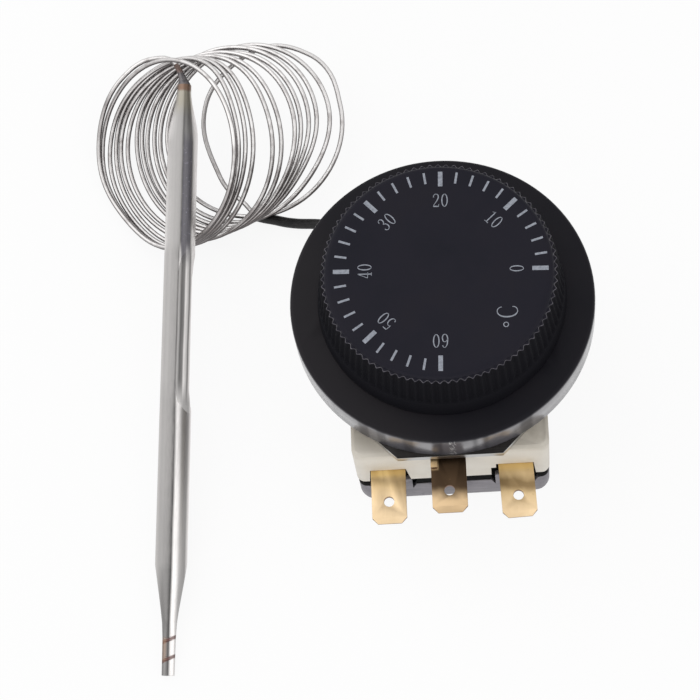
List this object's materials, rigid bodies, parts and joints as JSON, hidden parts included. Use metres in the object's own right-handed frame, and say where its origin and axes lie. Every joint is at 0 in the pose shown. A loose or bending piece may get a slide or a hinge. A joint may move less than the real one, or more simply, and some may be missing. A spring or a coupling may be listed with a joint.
{
  "type": "capillary thermostat",
  "caption": "Round dial thermostat with a fluted knob, a bezel, a ceramic switch body with blade terminals, and a coiled capillary that ends in a sensing bulb.",
  "frame": {"origin": "on the shaft axis, at the underside of the steel back cover", "axes": "+Z along the shaft towards the dial, -Y towards the blade terminals"},
  "size_m": [0.0954, 0.1238, 0.0475],
  "materials": {
    "knob_black": "satin",
    "bezel_black": "gloss",
    "ceramic_cream": "fired ceramic, unglazed",
    "insulator_black": "matte",
    "cover_steel": "plated",
    "plated_steel": "plated",
    "brass": "rolled sheet",
    "contact_silver": "satin",
    "spring_bronze": "rolled strip",
    "capillary_steel": "drawn tube",
    "bulb_steel": "drawn tube, heat tinted at the neck",
    "sleeve_black": "satin"
  },
  "bodies": {
    "body": {"back_cover": "cover_steel", "diaphragm_capsule": "plated_steel", "capillary_stub": "capillary_steel", "insulator": "insulator_black", "ceramic_housing": "ceramic_cream", "tie_rivets": "plated_steel", "terminal_left": "brass", "terminal_centre": "brass", "terminal_right": "brass", "terminal_rivets": "brass", "contact_left": "contact_silver", "contact_right": "contact_silver", "bracket": "plated_steel", "shaft_bush": "brass", "bezel": "bezel_black", "bezel_screws": "plated_steel", "sleeve": "sleeve_black", "capillary_coil": "capillary_steel", "capillary_tail": "capillary_steel", "weld_cone": "capillary_steel", "bulb": "bulb_steel"},
    "dial": {"knob": "knob_black", "knob_clip": "plated_steel", "shaft": "plated_steel", "stop_washer": "plated_steel", "shaft_circlip": "plated_steel"},
    "adjuster": {"adjusting_nut": "brass", "calibration_screw": "plated_steel"},
    "blade": {"snap_blade": "spring_bronze", "moving_contact": "contact_silver"},
    "pin": {"push_pin": "ceramic_cream"}
  },
  "joints": [
    {"name": "dial_turn", "type": "hinge", "parent": "body", "child": "dial", "pos_m": [0, 0, 0.0279], "axis": [0, 0, 1], "range_deg": [-180, 90]},
    {"name": "adjuster_slide", "type": "slide", "parent": "body", "child": "adjuster", "axis": [0, 0, 1], "range_m": [-0.00025, 0.000125]},
    {"name": "blade_flex", "type": "hinge", "parent": "body", "child": "blade", "pos_m": [-0.0005, -0.018, 0.01703], "axis": [1, 0, 0], "range_deg": [0, 1.2]},
    {"name": "pin_slide", "type": "slide", "parent": "body", "child": "pin", "axis": [0, 0, 1], "range_m": [0, 0.0003]}
  ],
  "couplings": [
    {"joint": "adjuster_slide", "follows": "dial_turn", "m_per_rad": 0.0000795},
    {"joint": "pin_slide", "follows": "blade_flex", "m_per_rad": 0.014}
  ]
}
